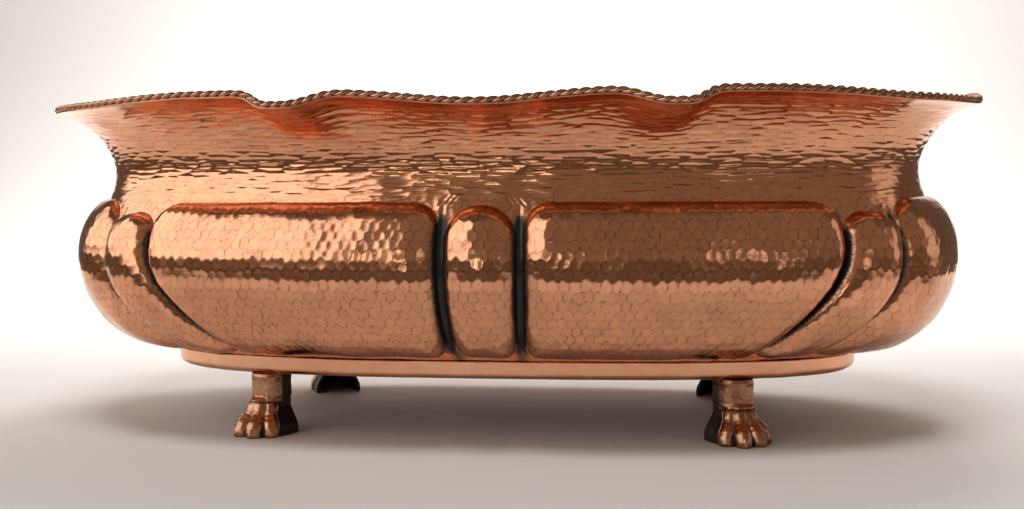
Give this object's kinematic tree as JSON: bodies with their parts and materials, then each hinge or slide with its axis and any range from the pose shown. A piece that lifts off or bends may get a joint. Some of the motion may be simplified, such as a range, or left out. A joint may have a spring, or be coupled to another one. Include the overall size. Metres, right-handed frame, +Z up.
{
  "type": "footed jardiniere",
  "caption": "Oval hammered copper planter with a lobed bowl, a flared wavy collar edged in twisted wire, a plinth band and cast lion paw feet.",
  "frame": {"origin": "middle of the footprint, on the floor", "axes": "+X along the length to the right, -Y is the front, +Z up"},
  "size_m": [0.6298, 0.3692, 0.2249],
  "materials": {
    "body_copper": "polished copper sheet, beaten all over, dark patina in the grooves",
    "border_copper": "twisted copper wire, bright on the strands and dark between them",
    "plinth_copper": "smooth polished copper band",
    "plate_copper": "dull tarnished copper sheet",
    "paw_bronze": "cast metal with a copper tone, bright on the toes and black at the back",
    "rivet_copper": "hammered copper rivet"
  },
  "bodies": {
    "root": {"body": "body_copper", "rim_rope": "border_copper", "plinth_band": "plinth_copper", "base_plate": "plate_copper", "paw_front_left": "paw_bronze", "rivet_front_left_1": "rivet_copper", "rivet_front_left_2": "rivet_copper", "paw_front_right": "paw_bronze", "rivet_front_right_1": "rivet_copper", "rivet_front_right_2": "rivet_copper", "paw_rear_left": "paw_bronze", "rivet_rear_left_1": "rivet_copper", "rivet_rear_left_2": "rivet_copper", "paw_rear_right": "paw_bronze", "rivet_rear_right_1": "rivet_copper", "rivet_rear_right_2": "rivet_copper"}
  },
  "joints": []
}
